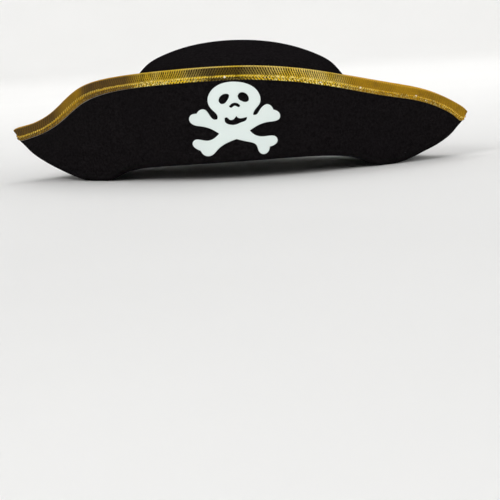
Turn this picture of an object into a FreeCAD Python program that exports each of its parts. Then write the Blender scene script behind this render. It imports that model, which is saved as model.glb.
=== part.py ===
import FreeCAD, Part
import math
import os
import Sketcher

# A child's felt pirate hat, in millimetres.
# X runs from horn to horn, the skull and crossbones face -Y, and Z is up from what the hat rests on.
# The brim is one felt sheet moulded as a boat: a keel line seen from the front, a lens seen from above,
# and two upturned flaps that end at the front edge line and the back edge line.
# The crown is an oval dome that stands in the boat, leans a little, and is sewn round its foot.

V = FreeCAD.Vector
X_AXIS = V(1, 0, 0)
Y_AXIS = V(0, 1, 0)
Z_AXIS = V(0, 0, 1)

DRIVING = {
    "HalfLength": 170,
    "FlapRadius": 103,
    "HornRadius": 3,
    "Felt": 2.2,
    "HeadHalfWidth": 79,
    "HeadHalfDepth": 92,
    "SweatbandThick": 1.2,
    "SweatbandBottom": 2,
    "SweatbandTop": 24,
    "CrownBase": 12,
    "CrownFoot": 24,
    "WallHeight": 25,
    "DomeHeight": 59,
    "CrownLean": 2.6,
    "CrownShift": -2,
    "BraidWidth": 9.5,
    "BraidHem": 4,
    "BraidThick": 1,
    "Thread": 0.6,
    "SeamMargin": 2.5,
    "HornSeamGap": 5,
    "EmblemThick": 1,
    "EmblemX": -5,
    "EmblemZ": 43,
    "EyeLength": 4.1,
    "EyeHeight": 2.8,
    "TackX": 24,
    "TackZ": 31,
    "TackPitch": 1.6,
    "HornTackX": 163,
    "HornTackLeftZ": 30.5,
    "HornTackRightZ": 28,
    "BlankHeight": 140,
    "BlankDepth": 115,
}

# The long edge lines as (share of the half length, height).  A line is one or more curves, and the gap
# between the end of one curve and the start of the next is a straight flat: the two feet of the keel.
EDGES = {
    "Keel": [
        [(-1.018, 34), (-0.9, 15.4), (-0.77, 5.8), (-0.7, 0), (-0.641, 0)],
        [(-0.594, 0), (-0.565, 0), (-0.52, 6.3), (-0.42, 9.8), (-0.2, 11.9), (0.05, 12.7),
         (0.24, 12.8), (0.4, 10.9), (0.5, 7), (0.555, 0), (0.588, 0)],
        [(0.635, 0), (0.69, 0), (0.78, 6.8), (0.9, 12.6), (1.018, 29)],
    ],
    "FrontEdge": [
        [(-1.03, 38.6), (-0.882, 40.8), (-0.753, 61.9), (-0.647, 73.2), (-0.412, 77.6), (0, 81.4),
         (0.353, 73.2), (0.706, 54.7), (0.882, 49.1), (1.03, 30.5)],
    ],
    "BackEdge": [
        [(-1.03, 38.6), (-0.882, 40.8), (-0.753, 57), (-0.647, 66), (-0.412, 71), (0, 74.5),
         (0.353, 68), (0.706, 54), (0.882, 49.1), (1.03, 30.5)],
    ],
}

# Half of the dome's upright section, as shares of its half width and of its height.
DOME_POLES = [(1, 0), (1, 0.29), (1, 0.44), (0.87, 0.67), (0.76, 0.8), (0.32, 1), (0, 1)]

# The emblem's outline about its own centre: each stretch runs from one corner to the next.
EMBLEM = [
    # the skull, from the slot on the left over the top to the slot on the right
    [(-12.4, 0.2), (-12, 1.6), (-16.2, 7.7), (-18.2, 14), (-14.2, 21.6), (-5.5, 25.8), (3, 26),
     (12, 23.4), (18.2, 17.4), (18.8, 10), (14.4, 4), (13.9, 2.2)],
    # the upper right bone, its two knuckles and the notch between them
    [(13.9, 2.2), (15.6, 1.9), (18, 4.8), (20.4, 7.8), (23.6, 9), (26.6, 7.4), (27.8, 4.9)],
    [(27.8, 4.9), (30.8, 3.5), (32.4, 0.9), (31.8, -2), (28.7, -3.5), (23.4, -3.8), (17, -5.6),
     (10.9, -9.1)],
    # the lower right bone
    [(10.9, -9.1), (14, -11.8), (19.5, -13.4), (25.5, -13.4), (29, -14.8), (30, -17.8), (27.8, -20.4),
     (24.7, -21.2)],
    [(24.7, -21.2), (23.2, -24.4), (19.5, -26.2), (16.6, -24.4), (14.9, -20.2), (9, -17.4), (0.6, -14.7)],
    # the lower left bone
    [(0.6, -14.7), (-5.5, -16.7), (-12.6, -20.5), (-16.6, -24.4), (-20.5, -25.7), (-23.8, -24.2),
     (-25.2, -21.6)],
    [(-25.2, -21.6), (-29.4, -19.3), (-30.9, -16.2), (-29.4, -13.8), (-26, -13.5), (-20, -14.3),
     (-15, -12.7), (-11.2, -9.8)],
    # the upper left bone, back to the slot
    [(-11.2, -9.8), (-16, -7), (-24, -4.5), (-30.2, -2.8), (-32.5, 0.6), (-31, 3.9), (-26.4, 4.9)],
    [(-26.4, 4.9), (-24.2, 7), (-21, 7.5), (-18, 4.1), (-14.6, 0.2), (-12.4, 0.2)],
]
EYES = [(-6.4, 14.3, 43), (7.3, 14.6, -38)]
NOSE = [
    [(-2.8, 8.9), (-0.6, 10.7), (1.2, 11.1), (2.9, 10.6), (4.6, 8.9)],
    [(4.6, 8.9), (3.8, 8.1), (1.1, 9.3), (-1.7, 7.9), (-2.8, 8.9)],
]
MOUTH = [
    [(-6.4, 1), (-4.8, 0.9), (-3.4, -0.6), (-1, -0.6), (1.5, 1.6)],
    [(1.5, 1.6), (2.8, 0.2), (5, -0.1), (8.8, 0.3)],
    [(8.8, 0.3), (8.6, -0.9), (4.8, -2.5), (1, -3.7), (-3, -3.5), (-6.8, -1.5), (-6.4, 1)],
]

CROWN_INSIDE = "(Dims.HeadHalfWidth + Dims.SweatbandThick)"
CROWN_HALF_WIDTH = DRIVING["HeadHalfWidth"] + DRIVING["SweatbandThick"] + DRIVING["Felt"]
HEAD_DEPTH_RATIO = "Dims.HeadHalfDepth / Dims.HeadHalfWidth"
TACK_STRANDS = 3
EDGE_RUN = 16
HORN_SIDES = {"left": -1, "right": 1}


def fill_sheet(doc):
    """Writes the driving sizes and the edge heights into the sheet that everything is bound to."""
    cells = dict(DRIVING)
    for name, curves in EDGES.items():
        heights = [height for curve in curves for _, height in curve]
        for i, height in enumerate(heights):
            cells[f"{name}Height{i}"] = height
    sheet = doc.addObject("Spreadsheet::Sheet", "Dims")
    for row, (alias, value) in enumerate(cells.items(), start=1):
        sheet.set(f"A{row}", alias)
        sheet.set(f"B{row}", str(value))
        sheet.setAlias(f"B{row}", alias)
    doc.recompute()


# ---- sketches -------------------------------------------------------------------------------------

def upright_sketch(doc, name):
    """A sketch in the XZ plane: its x is the hat's X and its y is the hat's Z."""
    sketch = doc.addObject("Sketcher::SketchObject", name)
    sketch.Placement = FreeCAD.Placement(V(0, 0, 0), FreeCAD.Rotation(X_AXIS, 90))
    return sketch


def pin_point(sketch, geometry, point, label, x_rule, y_rule):
    """Holds one point of the sketch at the two rules, which are expressions."""
    place = sketch.getPoint(geometry, point)
    for axis, kind, value, rule in (("x", "DistanceX", place.x, x_rule), ("y", "DistanceY", place.y, y_rule)):
        index = sketch.addConstraint(Sketcher.Constraint(kind, -1, 1, geometry, point, value))
        sketch.renameConstraint(index, f"{label}_{axis}")
        sketch.setExpression(f"Constraints.{label}_{axis}", rule)


def join(sketch, pairs):
    """Makes each (geometry, point) meet the next one of its pair."""
    for first, second in pairs:
        sketch.addConstraint(Sketcher.Constraint("Coincident", *first, *second))


def pole_curve(sketch, poles):
    """Adds a cubic B-spline by its poles, and returns it with the marks of the poles."""
    spline = Part.BSplineCurve()
    spline.buildFromPoles(poles, False, 3)
    curve = sketch.addGeometry(spline, False)
    sketch.exposeInternalGeometry(curve)
    marks = [i for i in range(curve + 1, sketch.GeometryCount)
             if sketch.Geometry[i].TypeId == "Part::GeomCircle"]
    return curve, marks


def corner_moves(points):
    """How far each corner of an open line moves when the whole line moves one unit to its left."""
    legs = [(after - before).normalize() for before, after in zip(points, points[1:])]
    normals = [V(-leg.y, leg.x, 0) for leg in legs]
    inner = [(before + after) / (1 + before.dot(after)) for before, after in zip(normals, normals[1:])]
    return [normals[0], *inner, normals[-1]]


def above_edge(doc, edge, name, lowered="0"):
    """Everything above one of the long edge lines, as a closed upright outline.

    The line is lowered by a rule, square to itself, or raised where the rule is negative."""
    sketch = upright_sketch(doc, name)
    half = DRIVING["HalfLength"]
    stretches = [[V(half * share, height, 0) for share, height in stretch] for stretch in EDGES[edge]]
    points = [point for stretch in stretches for point in stretch]
    moves = corner_moves(points)

    def hold(geometry, point, label, row, beyond=V(0, 0, 0)):
        """Holds a point of the sketch at one pole of the moved line, or straight on beyond it."""
        x_rule = f"{points[row].x / half} * Dims.HalfLength + ({-moves[row].x}) * ({lowered}) + ({beyond.x})"
        y_rule = f"Dims.{edge}Height{row} + ({-moves[row].y}) * ({lowered}) + ({beyond.y})"
        pin_point(sketch, geometry, point, label, x_rule, y_rule)

    ends = []
    row = 0
    for stretch in stretches:
        curve, marks = pole_curve(sketch, stretch)
        for mark in marks:
            hold(mark, 3, f"pole{row}", row)
            row += 1
        ends.append((curve, stretch[0], stretch[-1]))
    for (before, _, start), (after, end, _) in zip(ends, ends[1:]):
        flat = sketch.addGeometry(Part.LineSegment(start, end), False)
        join(sketch, [((flat, 1), (before, 2)), ((flat, 2), (after, 1))])

    # both ends run straight on past the horns, and the outline closes over the top
    left_run = (points[0] - points[1]).normalize() * EDGE_RUN
    right_run = (points[-1] - points[-2]).normalize() * EDGE_RUN
    left_end, right_end = points[0] + left_run, points[-1] + right_run
    top_left, top_right = V(left_end.x, DRIVING["BlankHeight"], 0), V(right_end.x, DRIVING["BlankHeight"], 0)
    loop = [points[-1], right_end, top_right, top_left, left_end, points[0]]
    sides = [sketch.addGeometry(Part.LineSegment(start, end), False) for start, end in zip(loop, loop[1:])]
    join(sketch, [((ends[-1][0], 2), (sides[0], 1)), ((sides[-1], 2), (ends[0][0], 1))])
    join(sketch, [((before, 2), (after, 1)) for before, after in zip(sides, sides[1:])])
    hold(sides[0], 2, "right_end", row - 1, right_run)
    hold(sides[-1], 1, "left_end", 0, left_run)
    for side in (sides[1], sides[3]):
        sketch.addConstraint(Sketcher.Constraint("Vertical", side))
    for label, point in (("right_top", 1), ("left_top", 2)):
        height = Sketcher.Constraint("DistanceY", -1, 1, sides[2], point, DRIVING["BlankHeight"])
        sketch.renameConstraint(sketch.addConstraint(height), label)
        sketch.setExpression(f"Constraints.{label}", "Dims.BlankHeight")
    return sketch


def lens_outline(doc):
    """The brim from above: two arcs about the middle, run out by tangents to the two round horns."""
    sketch = doc.addObject("Sketcher::SketchObject", "Lens")
    big = DRIVING["FlapRadius"]
    small = DRIVING["HornRadius"]
    horn_x = DRIVING["HalfLength"] - small
    turn = math.acos((big - small) / horn_x)
    out = V(math.cos(turn), math.sin(turn), 0)
    mirror = {(sx, sy): V(sx * out.x, sy * out.y, 0) for sx in (1, -1) for sy in (1, -1)}
    centres = {sx: V(sx * horn_x, 0, 0) for sx in (1, -1)}

    def arc(centre, radius, start, end):
        circle = Part.Circle(centre, Z_AXIS, radius)
        return sketch.addGeometry(Part.ArcOfCircle(circle, start, end), False)

    back = arc(V(0, 0, 0), big, turn, math.pi - turn)
    left_horn = arc(centres[-1], small, math.pi - turn, math.pi + turn)
    front = arc(V(0, 0, 0), big, math.pi + turn, 2 * math.pi - turn)
    right_horn = arc(centres[1], small, -turn, turn)

    def tangent(sx, sy, arc_end, horn_end):
        direction = mirror[sx, sy]
        line = sketch.addGeometry(Part.LineSegment(direction * big, centres[sx] + direction * small), False)
        sketch.addConstraint(Sketcher.Constraint("Tangent", line, 1, *arc_end))
        sketch.addConstraint(Sketcher.Constraint("Tangent", line, 2, *horn_end))

    tangent(1, 1, (back, 1), (right_horn, 2))
    tangent(-1, 1, (back, 2), (left_horn, 1))
    tangent(-1, -1, (front, 1), (left_horn, 2))
    tangent(1, -1, (front, 2), (right_horn, 1))
    join(sketch, [((back, 3), (-1, 1)), ((front, 3), (-1, 1))])
    for label, geometry, size in (("back_radius", back, "FlapRadius"),
                                  ("front_radius", front, "FlapRadius"),
                                  ("left_radius", left_horn, "HornRadius"),
                                  ("right_radius", right_horn, "HornRadius")):
        index = sketch.addConstraint(Sketcher.Constraint("Radius", geometry, DRIVING[size]))
        sketch.renameConstraint(index, label)
        sketch.setExpression(f"Constraints.{label}", f"Dims.{size}")
    pin_point(sketch, left_horn, 3, "left_horn", "Dims.HornRadius - Dims.HalfLength", "0")
    pin_point(sketch, right_horn, 3, "right_horn", "Dims.HalfLength - Dims.HornRadius", "0")
    return sketch


def trace(sketch, stretches):
    """Adds a closed outline whose stretches are smooth curves through their points."""
    for points in stretches:
        spline = Part.BSplineCurve()
        spline.interpolate([V(x, y, 0) for x, y in points])
        sketch.addGeometry(spline, False)


def emblem_outline(doc):
    """The skull and crossbones as one piece, with its eyes, nose and mouth cut out."""
    sketch = upright_sketch(doc, "EmblemOutline")
    for stretches in (EMBLEM, NOSE, MOUTH):
        trace(sketch, stretches)
    for x, y, tilt in EYES:
        direction = V(math.cos(math.radians(tilt)), math.sin(math.radians(tilt)), 0)
        side = V(-direction.y, direction.x, 0)
        centre = V(x, y, 0)
        ellipse = Part.Ellipse(centre + direction * DRIVING["EyeLength"],
                               centre + side * DRIVING["EyeHeight"], centre)
        eye = sketch.addGeometry(ellipse, False)
        sketch.addConstraint(Sketcher.Constraint("Block", eye))
    sketch.setExpression("Placement.Base.x", "Dims.EmblemX")
    sketch.setExpression("Placement.Base.z", "Dims.EmblemZ")
    return sketch


def crown_section(doc):
    """Half of the crown's upright section: the wall and the dome, outside and inside, joined at the axis."""
    sketch = upright_sketch(doc, "CrownSection")
    foot = -DRIVING["CrownFoot"]
    curves = []
    for side, radius, radius_rule, height, height_rule in (
            ("outside", CROWN_HALF_WIDTH, "Dims.Felt", DRIVING["DomeHeight"], "Dims.DomeHeight"),
            ("inside", CROWN_HALF_WIDTH - DRIVING["Felt"], "0", DRIVING["DomeHeight"] - DRIVING["Felt"],
             "(Dims.DomeHeight - Dims.Felt)")):
        poles = [V(x * radius, DRIVING["WallHeight"] + y * height, 0) for x, y in DOME_POLES]
        curve, marks = pole_curve(sketch, poles)
        for number, (mark, (x, y)) in enumerate(zip(marks, DOME_POLES)):
            pin_point(sketch, mark, 3, f"{side}{number}", f"{x} * ({CROWN_INSIDE} + {radius_rule})",
                      f"Dims.WallHeight + {y} * {height_rule}")
        wall = sketch.addGeometry(Part.LineSegment(V(radius, foot, 0), poles[0]), False)
        join(sketch, [((wall, 2), (curve, 1))])
        curves.append((curve, wall, poles[-1]))
    (outside, outer_wall, outer_top), (inside, inner_wall, inner_top) = curves
    axis = sketch.addGeometry(Part.LineSegment(outer_top, inner_top), False)
    feet = sketch.getPoint(outer_wall, 1), sketch.getPoint(inner_wall, 1)
    base = sketch.addGeometry(Part.LineSegment(*feet), False)
    join(sketch, [((outside, 2), (axis, 1)), ((inside, 2), (axis, 2)),
                  ((outer_wall, 1), (base, 1)), ((inner_wall, 1), (base, 2))])
    pin_point(sketch, base, 1, "outer_foot", f"{CROWN_INSIDE} + Dims.Felt", "-Dims.CrownFoot")
    pin_point(sketch, base, 2, "inner_foot", CROWN_INSIDE, "-Dims.CrownFoot")
    return sketch


def oval_outline(doc, name, half_width_rule):
    """An oval across the crown's own axis, in the proportions of the head opening."""
    half_width = DRIVING["HeadHalfWidth"]
    half_depth = DRIVING["HeadHalfDepth"]
    sketch = doc.addObject("Sketcher::SketchObject", name)
    oval = sketch.addGeometry(Part.Ellipse(V(0, half_depth, 0), V(half_width, 0, 0), V(0, 0, 0)), False)
    sketch.exposeInternalGeometry(oval)
    long_axis, short_axis = oval + 1, oval + 2
    sketch.addConstraint(Sketcher.Constraint("Coincident", oval, 3, -1, 1))
    sketch.addConstraint(Sketcher.Constraint("Vertical", long_axis))
    for label, line, rule in (("depth", long_axis, f"2 * {HEAD_DEPTH_RATIO} * ({half_width_rule})"),
                              ("width", short_axis, f"2 * ({half_width_rule})")):
        index = sketch.addConstraint(Sketcher.Constraint("Distance", line, sketch.Geometry[line].length()))
        sketch.renameConstraint(index, label)
        sketch.setExpression(f"Constraints.{label}", rule)
    return lean(sketch)


# ---- solids ---------------------------------------------------------------------------------------

def grown(doc, name, outline, rule):
    """The outline moved outwards by the rule, or inwards where it is negative."""
    offset = doc.addObject("Part::Offset2D", name)
    offset.Source = outline
    offset.setExpression("Value", rule)
    return offset


def prism(doc, name, outline, direction, ahead, behind="0"):
    """The outline pushed out both ways along a direction."""
    solid = doc.addObject("Part::Extrusion", name)
    solid.Base = outline
    solid.DirMode = "Custom"
    solid.Dir = direction
    solid.Solid = True
    solid.FaceMakerClass = "Part::FaceMakerBullseye"
    solid.setExpression("LengthFwd", ahead)
    solid.setExpression("LengthRev", behind)
    return solid


def tower(doc, name, outline):
    """A plan outline raised through the full height of the hat."""
    return prism(doc, name, outline, Z_AXIS, "Dims.BlankHeight - 20", "10")


def slab(doc, name, outline):
    """An upright outline run through the full depth of the hat."""
    return prism(doc, name, outline, Y_AXIS, "Dims.BlankDepth", "Dims.BlankDepth")


def common(doc, name, *shapes):
    result = doc.addObject("Part::MultiCommon", name)
    result.Shapes = list(shapes)
    return result


def cut(doc, name, base, *tools):
    """The base with each tool taken away in turn."""
    for number, tool in enumerate(tools, start=1):
        last = number == len(tools)
        result = doc.addObject("Part::Cut", name if last else f"{name}Step{number}")
        result.Base = base
        result.Tool = tool
        base = result
    return base


def fuse(doc, name, *shapes):
    result = doc.addObject("Part::MultiFuse", name)
    result.Shapes = list(shapes)
    return result


def lean(piece):
    """Stands a piece on the crown's own axis, which leans towards +X from the crown's base."""
    piece.Placement = FreeCAD.Placement(V(0, 0, 0), FreeCAD.Rotation(Y_AXIS, DRIVING["CrownLean"]))
    piece.setExpression("Placement.Rotation.Angle", "Dims.CrownLean")
    piece.setExpression("Placement.Base.x", "Dims.CrownShift")
    piece.setExpression("Placement.Base.z", "Dims.CrownBase")
    return piece


def oval(doc, name, half_width_rule, bottom, top):
    """An oval block about the crown's axis, between two heights above the crown's base."""
    block = prism(doc, name, oval_outline(doc, name + "Outline", half_width_rule), Z_AXIS, top, f"-({bottom})")
    block.DirMode = "Normal"
    return block


# ---- blanks that several sub-parts share ----------------------------------------------------------

def half_slabs(doc, name, lowered="0", gap="0"):
    """What lies above the front edge line ahead of the middle, and above the back line behind it.

    A rule lowers both lines, or raises them where it is negative, and a gap keeps the halves off the middle."""
    halves = []
    for edge, direction in (("FrontEdge", -Y_AXIS), ("BackEdge", Y_AXIS)):
        outline = above_edge(doc, edge, f"{name}{edge}", lowered)
        halves.append(prism(doc, f"{name}{edge}Slab", outline, direction, "Dims.BlankDepth", f"-{gap}"))
    return fuse(doc, name, *halves)


def make_blanks(doc):
    """The blanks that sub-parts are cut from, by name."""
    lens = lens_outline(doc)
    hull = slab(doc, "HullSlab", above_edge(doc, "Keel", "KeelLine"))
    inner_tower = tower(doc, "InnerTower", grown(doc, "InnerLens", lens, "-Dims.Felt"))
    inner_hull = slab(doc, "InnerHullSlab", above_edge(doc, "Keel", "InnerKeelLine", "-Dims.Felt"))
    blanks = {
        "hull": hull,
        "outer": tower(doc, "OuterTower", lens),
        "inside": common(doc, "Inside", inner_tower, inner_hull),
        "braid_face": tower(doc, "BraidFaceTower", grown(doc, "BraidFaceLens", lens, "Dims.BraidThick")),
        "wall": oval(doc, "WallBlock", f"{CROWN_INSIDE} + Dims.Felt", "-Dims.CrownFoot", "Dims.WallHeight"),
    }
    boat = common(doc, "Boat", blanks["outer"], hull)
    blanks["shell"] = cut(doc, "Shell", boat, blanks["inside"], half_slabs(doc, "Sky"))
    return blanks


# ---- sub-parts ------------------------------------------------------------------------------------

def make_brim(doc, blanks):
    """The boat of felt, with the oval hole that the crown stands in."""
    return {"brim": cut(doc, "Brim", blanks["shell"], blanks["wall"])}


def make_crown(doc, blanks):
    """A straight wall under a dome, turned round, widened to an oval and cut off along the brim's underside."""
    turned = doc.addObject("Part::Revolution", "TurnedCrown")
    turned.Source = crown_section(doc)
    turned.Axis = Z_AXIS
    turned.Solid = True
    widened = doc.addObject("Part::Scale", "OvalCrown")
    widened.Base = turned
    widened.Uniform = False
    widened.setExpression("YScale", HEAD_DEPTH_RATIO)
    return {"crown": common(doc, "Crown", lean(widened), blanks["hull"])}


def make_head_seam(doc, blanks):
    """The thread laid in the crease where the crown's foot meets the brim."""
    ring_rule = f"{CROWN_INSIDE} + Dims.Felt + Dims.Thread"
    ring = oval(doc, "SeamOval", ring_rule, "-Dims.CrownFoot", "Dims.WallHeight")
    seam_keel = above_edge(doc, "Keel", "SeamKeelLine", "-Dims.Felt - Dims.Thread")
    above = slab(doc, "AboveSeamSlab", seam_keel)
    blank = common(doc, "SeamBlank", ring, blanks["inside"])
    return {"head_seam_thread": cut(doc, "HeadSeam", blank, above, blanks["wall"])}


def make_sweatband(doc, blanks):
    """The ribbon round the inside of the crown's foot, and the thread that holds its upper edge."""
    block = oval(doc, "RibbonBlock", CROWN_INSIDE, "Dims.SweatbandBottom", "Dims.SweatbandTop")
    head = oval(doc, "HeadOval", "Dims.HeadHalfWidth", "Dims.SweatbandBottom - 1", "Dims.SweatbandTop + 1")
    seam_bottom = "Dims.SweatbandTop - Dims.SeamMargin"
    seam_top = f"{seam_bottom} + Dims.Thread"
    seam = oval(doc, "RibbonSeamBlock", "Dims.HeadHalfWidth", seam_bottom, seam_top)
    core = oval(doc, "RibbonSeamCore", "Dims.HeadHalfWidth - Dims.Thread", f"{seam_bottom} - 1",
                f"{seam_top} + 1")
    return {"sweatband": cut(doc, "Ribbon", block, head),
            "sweatband_thread": cut(doc, "RibbonSeam", seam, core)}


def make_braid(doc, blanks):
    """The gold braid folded over the brim's edge, wide outside and narrow inside, and its thread."""
    lens = doc.getObject("Lens")
    face_width = half_slabs(doc, "BraidFaceEdge", "Dims.BraidWidth")
    hem_width = half_slabs(doc, "BraidHemEdge", "Dims.BraidHem")
    over = half_slabs(doc, "BraidTopEdge", "-Dims.BraidThick")
    face_boat = common(doc, "BraidFaceBoat", blanks["braid_face"], blanks["hull"])
    face_shell = cut(doc, "BraidFaceShell", face_boat, blanks["outer"])
    face = cut(doc, "BraidFace", common(doc, "BraidFaceStrip", face_shell, face_width), over)
    hem_tower = tower(doc, "BraidHemTower", grown(doc, "BraidHemLens", lens, "-Dims.Felt - Dims.BraidThick"))
    hem_strip = common(doc, "BraidHemStrip", blanks["outer"], hem_width, blanks["hull"])
    hem = cut(doc, "BraidHem", hem_strip, hem_tower, over, blanks["shell"])

    seam_low = half_slabs(doc, "BraidSeamLow", "Dims.BraidWidth - Dims.SeamMargin", "Dims.HornSeamGap")
    seam_high = half_slabs(doc, "BraidSeamHigh", "Dims.BraidWidth - Dims.SeamMargin - Dims.Thread")
    seam_tower = tower(doc, "BraidSeamTower", grown(doc, "BraidSeamLens", lens, "Dims.BraidThick + Dims.Thread"))
    seam_boat = common(doc, "BraidSeamBoat", seam_tower, blanks["hull"])
    seam_shell = cut(doc, "BraidSeamShell", seam_boat, blanks["braid_face"])
    seam = cut(doc, "BraidSeam", common(doc, "BraidSeamStrip", seam_shell, seam_low), seam_high)
    return {"gold_braid": fuse(doc, "Braid", face, hem), "braid_thread": seam}


def make_emblem(doc, blanks):
    """The white skull and crossbones, bent to the front flap and glued to it."""
    stamp = prism(doc, "EmblemStamp", emblem_outline(doc), -Y_AXIS, "Dims.BlankDepth")
    face_lens = grown(doc, "EmblemLens", doc.getObject("Lens"), "Dims.EmblemThick")
    blank = common(doc, "EmblemBlank", stamp, tower(doc, "EmblemTower", face_lens))
    return {"skull_crossbones_emblem": cut(doc, "Emblem", blank, blanks["outer"])}


def strands(doc, name, x_rule, z_rule, ahead, behind):
    """A few parallel threads along Y, one above another."""
    threads = []
    for number in range(TACK_STRANDS):
        thread = doc.addObject("Part::Cylinder", f"{name}Strand{number}")
        thread.Placement = FreeCAD.Placement(V(0, 0, 0), FreeCAD.Rotation(X_AXIS, 90))
        thread.setExpression("Radius", "Dims.Thread / 2")
        thread.setExpression("Height", f"{ahead} + {behind}")
        thread.setExpression("Placement.Base.x", x_rule)
        thread.setExpression("Placement.Base.y", behind)
        thread.setExpression("Placement.Base.z", f"{z_rule} + {number} * Dims.TackPitch")
        threads.append(thread)
    return fuse(doc, name + "Strands", *threads)


def make_tacks(doc, blanks):
    """Thread tacks that hold each flap to the crown, and the two walls of each horn together."""
    tacks = {}
    for flap, ahead, behind in (("front", "Dims.BlankDepth", "0"), ("back", "0", "Dims.BlankDepth")):
        for side, sign in HORN_SIDES.items():
            name = f"{flap.title()}Tack{side.title()}"
            x_rule = f"Dims.CrownShift + {sign} * Dims.TackX"
            threads = strands(doc, name, x_rule, "Dims.TackZ", ahead, behind)
            inside = common(doc, name + "Inside", threads, blanks["inside"])
            tacks[f"{flap}_tack_{side}"] = cut(doc, name, inside, blanks["wall"])
    for side, sign in HORN_SIDES.items():
        name = f"HornTack{side.title()}"
        threads = strands(doc, name, f"{sign} * Dims.HornTackX", f"Dims.{name}Z", "Dims.BlankDepth",
                          "Dims.BlankDepth")
        tacks[f"horn_tack_{side}"] = common(doc, name, threads, blanks["inside"])
    return tacks


# ---- checks and output ----------------------------------------------------------------------------

def check(doc, parts):
    """Stops if an object failed or a sub-part's shape can't be used."""
    failed = [o.Name for o in doc.Objects if "Invalid" in o.State or "Error" in o.State]
    if failed:
        raise RuntimeError(f"these objects failed: {failed}")
    for node, part in parts.items():
        if part.Shape.isNull() or not part.Shape.isValid() or not part.Shape.Solids:
            raise RuntimeError(f"{node} has no valid solid")


def main():
    doc = FreeCAD.newDocument("PirateHat")
    fill_sheet(doc)
    blanks = make_blanks(doc)
    parts = {}
    for make in (make_crown, make_brim, make_head_seam, make_sweatband, make_braid, make_emblem, make_tacks):
        parts.update(make(doc, blanks))
    for node, part in parts.items():
        part.Label = node
    doc.recompute()
    check(doc, parts)
    os.makedirs("parts", exist_ok=True)
    for node, part in parts.items():
        part.Shape.exportStep(f"parts/{node}.step")
        box = part.Shape.BoundBox
        print(f"{node:24s} solids {len(part.Shape.Solids)}  volume {part.Shape.Volume:9.1f}"
              f"  x {box.XMin:6.1f} {box.XMax:6.1f}  y {box.YMin:6.1f} {box.YMax:6.1f}"
              f"  z {box.ZMin:5.1f} {box.ZMax:5.1f}")


main()
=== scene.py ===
import bmesh
import bpy
import math
import numpy as np
from mathutils import Matrix, Vector, noise


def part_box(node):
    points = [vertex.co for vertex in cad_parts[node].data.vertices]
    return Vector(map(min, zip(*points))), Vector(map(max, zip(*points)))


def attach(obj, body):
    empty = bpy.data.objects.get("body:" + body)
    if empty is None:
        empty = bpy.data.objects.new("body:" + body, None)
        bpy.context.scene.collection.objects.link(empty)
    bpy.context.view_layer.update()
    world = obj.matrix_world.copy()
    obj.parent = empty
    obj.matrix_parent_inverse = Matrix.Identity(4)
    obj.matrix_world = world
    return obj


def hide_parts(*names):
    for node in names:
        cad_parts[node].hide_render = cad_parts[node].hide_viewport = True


# A child's felt pirate hat.  All shape code works in millimetres, in the CAD frame: X from horn to horn,
# the skull faces -Y, Z up from the floor.  Every piece is built on the plain lines of the CAD, then moved by
# dress() and turned into metres by mesh_piece().

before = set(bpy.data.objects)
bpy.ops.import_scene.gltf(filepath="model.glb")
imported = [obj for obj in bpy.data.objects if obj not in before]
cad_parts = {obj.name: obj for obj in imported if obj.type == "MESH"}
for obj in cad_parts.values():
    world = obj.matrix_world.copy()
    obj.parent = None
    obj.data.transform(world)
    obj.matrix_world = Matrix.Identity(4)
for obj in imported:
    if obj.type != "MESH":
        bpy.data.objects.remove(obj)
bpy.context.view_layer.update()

FELT = 2.2  # how thick it is
HALF_LENGTH = 170.0
FLAP_RADIUS, HORN_RADIUS = 103.0, 3.0  # the wall of the brim seen from above
HEAD_HALF_WIDTH, HEAD_HALF_DEPTH = 79.0, 92.0  # the oval inside the sweatband
DEPTH_RATIO = HEAD_HALF_DEPTH / HEAD_HALF_WIDTH
CROWN_HALF_WIDTH = 82.4
CROWN_HALF_DEPTH = CROWN_HALF_WIDTH * HEAD_HALF_DEPTH / HEAD_HALF_WIDTH
CROWN_PIVOT = (-2.0, 12.0)  # where the crown's axis starts, in x and z
CROWN_LEAN = math.radians(2.6)
WALL_HEIGHT, DOME_HEIGHT = 25.0, 59.0  # the crown's upright part, and the dome above it
BRAID_WIDTH = 9.5
EMBLEM_X, EMBLEM_Z = -4.8, 43.0
RIBBON_RADIUS = 85.6  # turns an angle round the head into a length of sweatband

# How the hat strays from its plain shape, the left horn before the right one.
SLANT_REACH = (4.8, 5.8)  # how far below the edge a horn's end is cut back
SLANT = (0.56, 0.46)  # how much it is cut back for each millimetre of that
TIP_DRIFT = 1.0  # how far both tips lie to the left
TIP_DROP = 1.0  # how far the top of a tip is rounded down
DRIFT_SIZE = 58.0
DRIFT_STARTS = ((3.1, 7.7, 1.3), (11.4, 2.9, 5.6), (6.2, 13.8, 9.5))
FULL_DRIFT_Z, FULL_LIFT_Z = 80.0, 14.0  # the drift grows from the floor up to here, sideways and upwards

# The brim's lines as (share of the half length, height), and the dome as shares of its oval and height.
KEEL = [
    [(-1.018, 34), (-0.9, 15.4), (-0.77, 5.8), (-0.7, 0), (-0.641, 0)],
    [(-0.594, 0), (-0.565, 0), (-0.52, 6.3), (-0.42, 9.8), (-0.2, 11.9), (0.05, 12.7),
     (0.24, 12.8), (0.4, 10.9), (0.5, 7), (0.555, 0), (0.588, 0)],
    [(0.635, 0), (0.69, 0), (0.78, 6.8), (0.9, 12.6), (1.018, 29)],
]
FRONT_EDGE = [[(-1.03, 38.6), (-0.882, 40.8), (-0.753, 61.9), (-0.647, 73.2), (-0.412, 77.6), (0, 81.4),
               (0.353, 73.2), (0.706, 54.7), (0.882, 49.1), (1.03, 30.5)]]
BACK_EDGE = [[(-1.03, 38.6), (-0.882, 40.8), (-0.753, 57), (-0.647, 66), (-0.412, 71), (0, 74.5),
              (0.353, 68), (0.706, 54), (0.882, 49.1), (1.03, 30.5)]]
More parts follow.
